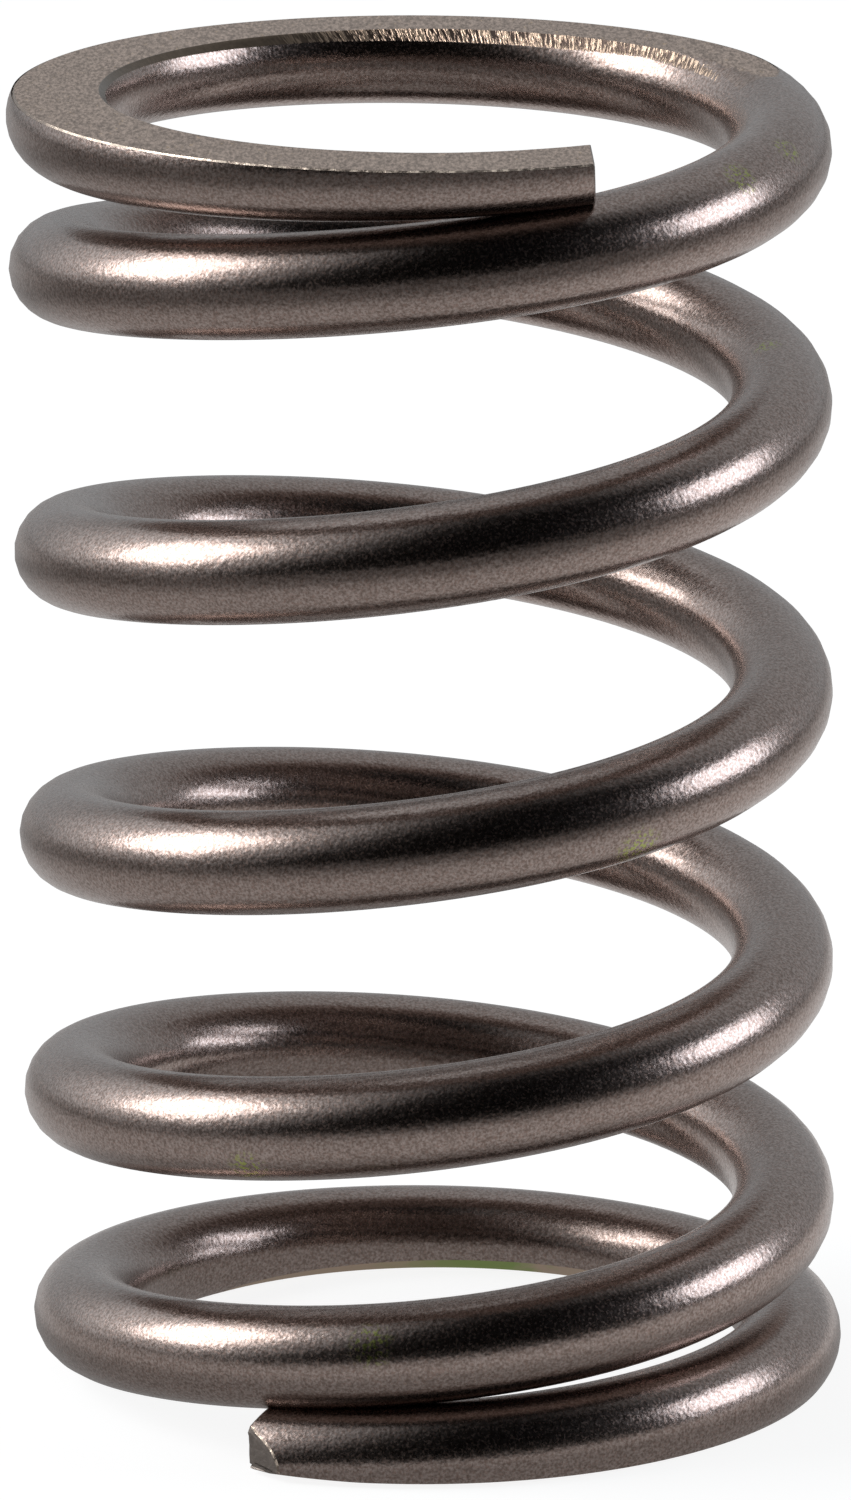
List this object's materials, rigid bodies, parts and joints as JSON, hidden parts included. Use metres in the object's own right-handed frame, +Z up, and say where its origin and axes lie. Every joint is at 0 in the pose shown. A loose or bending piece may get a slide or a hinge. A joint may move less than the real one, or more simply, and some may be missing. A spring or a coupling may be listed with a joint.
{
  "type": "engine valve spring",
  "caption": "Right-hand wound helical compression spring of round peened wire, with closed, ground flat ends and a slightly closer pitch at the lower end.",
  "frame": {"origin": "middle of the lower ground end face, on the coil's axis, with the spring standing on that face", "axes": "+Z up the coil's axis; +X to the right and +Y to the back as the picture shows it, with the lower tip at the front left and the upper tip at the front right"},
  "size_m": [0.0322, 0.0324, 0.0516],
  "materials": {
    "spring_wire": "satin bronze-grey oxide over shot-peened steel, bare grey-tan steel on the ground end faces"
  },
  "bodies": {
    "root": {"valve_spring": "spring_wire"}
  },
  "joints": []
}
